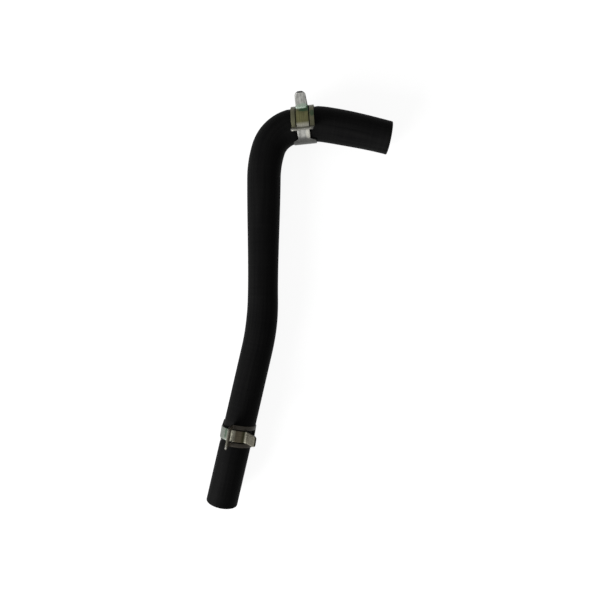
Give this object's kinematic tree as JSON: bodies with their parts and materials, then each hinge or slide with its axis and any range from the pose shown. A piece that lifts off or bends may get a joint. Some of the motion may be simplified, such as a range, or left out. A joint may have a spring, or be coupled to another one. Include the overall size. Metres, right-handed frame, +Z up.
{
  "type": "turbo outlet hose",
  "caption": "Moulded black rubber hose with a sharp elbow and a gentle knee, carrying two spring band clamps with upright ears.",
  "frame": {"origin": "middle of the underside of the bounding box, on the surface that the hose lies on", "axes": "+Z up out of that surface, +Y along the long leg from the lower end to the elbow, +X the way the arm points"},
  "size_m": [0.0946, 0.2056, 0.0278],
  "materials": {
    "hose_rubber": "matt black moulded rubber with faint wrap marks",
    "clamp_steel": "spring steel with a dull olive-grey zinc coating and a dab of green paint"
  },
  "bodies": {
    "root": {"hose": "hose_rubber", "lower_clamp": "clamp_steel", "upper_clamp": "clamp_steel"}
  },
  "joints": []
}
